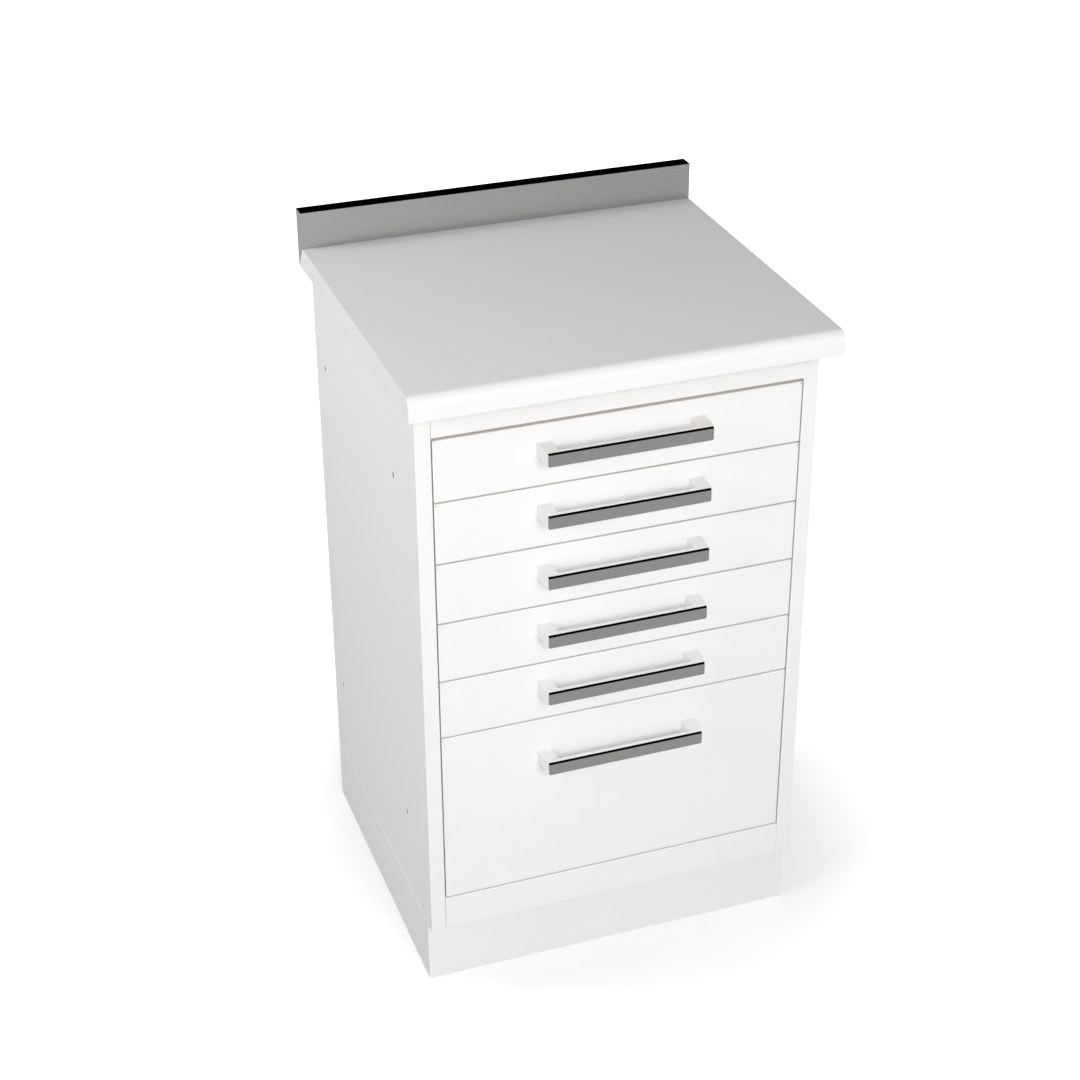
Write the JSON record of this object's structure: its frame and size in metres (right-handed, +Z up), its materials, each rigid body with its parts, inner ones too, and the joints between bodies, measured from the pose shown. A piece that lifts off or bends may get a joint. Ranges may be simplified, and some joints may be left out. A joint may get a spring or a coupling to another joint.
{
  "type": "dental drawer cabinet",
  "caption": "Floor-standing clinic cabinet in white sheet steel: worktop with polished upstand, shallow drawers above a deep one, bow handles, recessed plinth.",
  "frame": {"origin": "centre of the bounding box's footprint, on the floor", "axes": "+X to the right as one faces the drawers, +Y to the back, +Z up; the drawers open along -Y"},
  "size_m": [0.53, 0.488, 0.9085],
  "materials": {
    "white_steel": "white powder coat, satin",
    "white_handle": "white, semi-gloss",
    "polished_metal": "polished, mirror-like",
    "worktop_laminate": "white laminate, fine texture",
    "board_core": "chipboard",
    "galvanised_steel": "bright zinc",
    "zinc_fasteners": "bright zinc"
  },
  "bodies": {
    "cabinet": {"side_panel_left": "white_steel", "side_panel_right": "white_steel", "back_panel": "white_steel", "bottom_panel": "white_steel", "top_rail_front": "white_steel", "top_rail_rear": "white_steel", "bottom_rail_front": "white_steel", "plinth_frame": "white_steel", "plinth_bolts": "zinc_fasteners", "worktop_core": "board_core", "worktop_laminate": "worktop_laminate", "worktop_end_bands": "worktop_laminate", "worktop_screws": "zinc_fasteners", "backsplash": "polished_metal", "backsplash_screws": "zinc_fasteners", "runner_uprights": "galvanised_steel", "runner_cabinet_members": "galvanised_steel", "runner_screws": "zinc_fasteners"},
    "drawer_1": {"drawer_1_front": "white_steel", "drawer_1_tray": "white_steel", "drawer_1_handle": "white_handle", "drawer_1_handle_strip": "polished_metal", "drawer_1_fixings": "zinc_fasteners", "drawer_1_runner_members": "galvanised_steel"},
    "drawer_1_intermediates": {"drawer_1_runner_intermediates": "galvanised_steel"},
    "drawer_2": {"drawer_2_front": "white_steel", "drawer_2_tray": "white_steel", "drawer_2_handle": "white_handle", "drawer_2_handle_strip": "polished_metal", "drawer_2_fixings": "zinc_fasteners", "drawer_2_runner_members": "galvanised_steel"},
    "drawer_2_intermediates": {"drawer_2_runner_intermediates": "galvanised_steel"},
    "drawer_3": {"drawer_3_front": "white_steel", "drawer_3_tray": "white_steel", "drawer_3_handle": "white_handle", "drawer_3_handle_strip": "polished_metal", "drawer_3_fixings": "zinc_fasteners", "drawer_3_runner_members": "galvanised_steel"},
    "drawer_3_intermediates": {"drawer_3_runner_intermediates": "galvanised_steel"},
    "drawer_4": {"drawer_4_front": "white_steel", "drawer_4_tray": "white_steel", "drawer_4_handle": "white_handle", "drawer_4_handle_strip": "polished_metal", "drawer_4_fixings": "zinc_fasteners", "drawer_4_runner_members": "galvanised_steel"},
    "drawer_4_intermediates": {"drawer_4_runner_intermediates": "galvanised_steel"},
    "drawer_5": {"drawer_5_front": "white_steel", "drawer_5_tray": "white_steel", "drawer_5_handle": "white_handle", "drawer_5_handle_strip": "polished_metal", "drawer_5_fixings": "zinc_fasteners", "drawer_5_runner_members": "galvanised_steel"},
    "drawer_5_intermediates": {"drawer_5_runner_intermediates": "galvanised_steel"},
    "drawer_6": {"drawer_6_front": "white_steel", "drawer_6_tray": "white_steel", "drawer_6_handle": "white_handle", "drawer_6_handle_strip": "polished_metal", "drawer_6_fixings": "zinc_fasteners", "drawer_6_runner_members": "galvanised_steel"},
    "drawer_6_intermediates": {"drawer_6_runner_intermediates": "galvanised_steel"}
  },
  "joints": [
    {"name": "drawer_1_slide", "type": "slide", "parent": "cabinet", "child": "drawer_1", "axis": [0, -1, 0], "range_m": [0, 0.38]},
    {"name": "drawer_1_runner_slide", "type": "slide", "parent": "cabinet", "child": "drawer_1_intermediates", "axis": [0, -1, 0], "range_m": [0, 0.19]},
    {"name": "drawer_2_slide", "type": "slide", "parent": "cabinet", "child": "drawer_2", "axis": [0, -1, 0], "range_m": [0, 0.38]},
    {"name": "drawer_2_runner_slide", "type": "slide", "parent": "cabinet", "child": "drawer_2_intermediates", "axis": [0, -1, 0], "range_m": [0, 0.19]},
    {"name": "drawer_3_slide", "type": "slide", "parent": "cabinet", "child": "drawer_3", "axis": [0, -1, 0], "range_m": [0, 0.38]},
    {"name": "drawer_3_runner_slide", "type": "slide", "parent": "cabinet", "child": "drawer_3_intermediates", "axis": [0, -1, 0], "range_m": [0, 0.19]},
    {"name": "drawer_4_slide", "type": "slide", "parent": "cabinet", "child": "drawer_4", "axis": [0, -1, 0], "range_m": [0, 0.38]},
    {"name": "drawer_4_runner_slide", "type": "slide", "parent": "cabinet", "child": "drawer_4_intermediates", "axis": [0, -1, 0], "range_m": [0, 0.19]},
    {"name": "drawer_5_slide", "type": "slide", "parent": "cabinet", "child": "drawer_5", "axis": [0, -1, 0], "range_m": [0, 0.38]},
    {"name": "drawer_5_runner_slide", "type": "slide", "parent": "cabinet", "child": "drawer_5_intermediates", "axis": [0, -1, 0], "range_m": [0, 0.19]},
    {"name": "drawer_6_slide", "type": "slide", "parent": "cabinet", "child": "drawer_6", "axis": [0, -1, 0], "range_m": [0, 0.38]},
    {"name": "drawer_6_runner_slide", "type": "slide", "parent": "cabinet", "child": "drawer_6_intermediates", "axis": [0, -1, 0], "range_m": [0, 0.19]}
  ],
  "couplings": [
    {"joint": "drawer_1_runner_slide", "follows": "drawer_1_slide", "ratio": 0.5},
    {"joint": "drawer_2_runner_slide", "follows": "drawer_2_slide", "ratio": 0.5},
    {"joint": "drawer_3_runner_slide", "follows": "drawer_3_slide", "ratio": 0.5},
    {"joint": "drawer_4_runner_slide", "follows": "drawer_4_slide", "ratio": 0.5},
    {"joint": "drawer_5_runner_slide", "follows": "drawer_5_slide", "ratio": 0.5},
    {"joint": "drawer_6_runner_slide", "follows": "drawer_6_slide", "ratio": 0.5}
  ]
}
